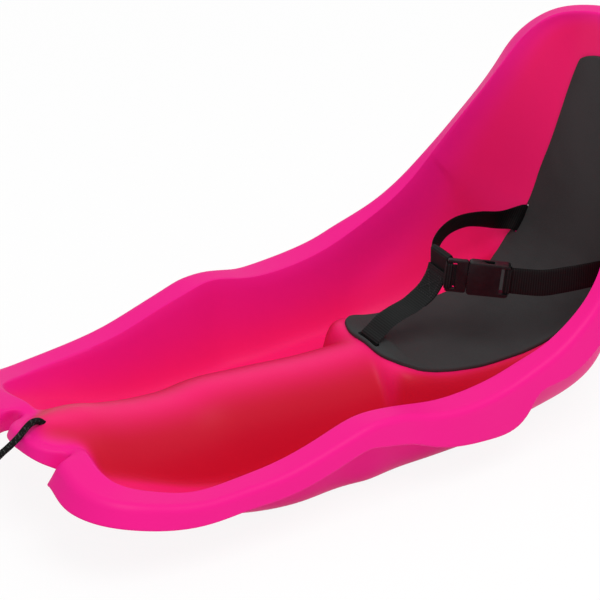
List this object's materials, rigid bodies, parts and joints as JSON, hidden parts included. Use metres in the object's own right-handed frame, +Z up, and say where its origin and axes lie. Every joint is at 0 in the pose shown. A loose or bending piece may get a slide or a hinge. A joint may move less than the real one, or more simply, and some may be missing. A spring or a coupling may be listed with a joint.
{
  "type": "baby pull sled",
  "caption": "Moulded bucket pull sled for a small child, with ski runners, high backrest, foam seat pad, crotch strap, waist belt with a side release buckle, and pull rope.",
  "frame": {"origin": "middle of the sled's bounding box on the surface that it stands on, without the rope", "axes": "+Y from the nose to the backrest along the sled, +X towards the rider's left as the rider sits facing the nose, +Z up"},
  "size_m": [0.3766, 1.0178, 0.355],
  "materials": {
    "hull": "satin moulded polyethylene",
    "foam": "matt closed cell foam",
    "webbing": "woven",
    "buckle": "satin moulded acetal",
    "rope": "braided"
  },
  "bodies": {
    "sled": {"shell": "hull", "seat_pad": "foam", "crotch_strap": "webbing", "crotch_keeper": "buckle", "waist_belt": "webbing", "waist_belt_short": "webbing", "buckle_plug": "buckle", "rope_stopper_knot": "rope", "pull_rope": "rope", "rope_coil": "rope", "rope_end_knot": "rope"},
    "upper_latch": {"latch_arm_upper": "buckle"},
    "lower_latch": {"latch_arm_lower": "buckle"},
    "socket": {"buckle_socket": "buckle"}
  },
  "joints": [
    {"name": "upper_latch_squeeze", "type": "hinge", "parent": "sled", "child": "upper_latch", "pos_m": [0.03398, 0.15377, 0.14371], "axis": [-0.8191, 0.5736, 0], "range_deg": [0, 10.5], "stiffness_Nm_per_rad": 0.05},
    {"name": "lower_latch_squeeze", "type": "hinge", "parent": "sled", "child": "lower_latch", "pos_m": [0.03232, 0.15139, 0.11607], "axis": [0.8191, -0.5736, 0], "range_deg": [0, 10.5], "stiffness_Nm_per_rad": 0.05},
    {"name": "buckle_release", "type": "slide", "parent": "sled", "child": "socket", "axis": [0.5704, 0.8147, -0.1045], "range_m": [0, 0.028], "deforming": ["waist_belt_short", "latch_arm_upper", "latch_arm_lower"]}
  ],
  "couplings": [
    {"joint": "lower_latch_squeeze", "follows": "upper_latch_squeeze", "ratio": 1}
  ]
}
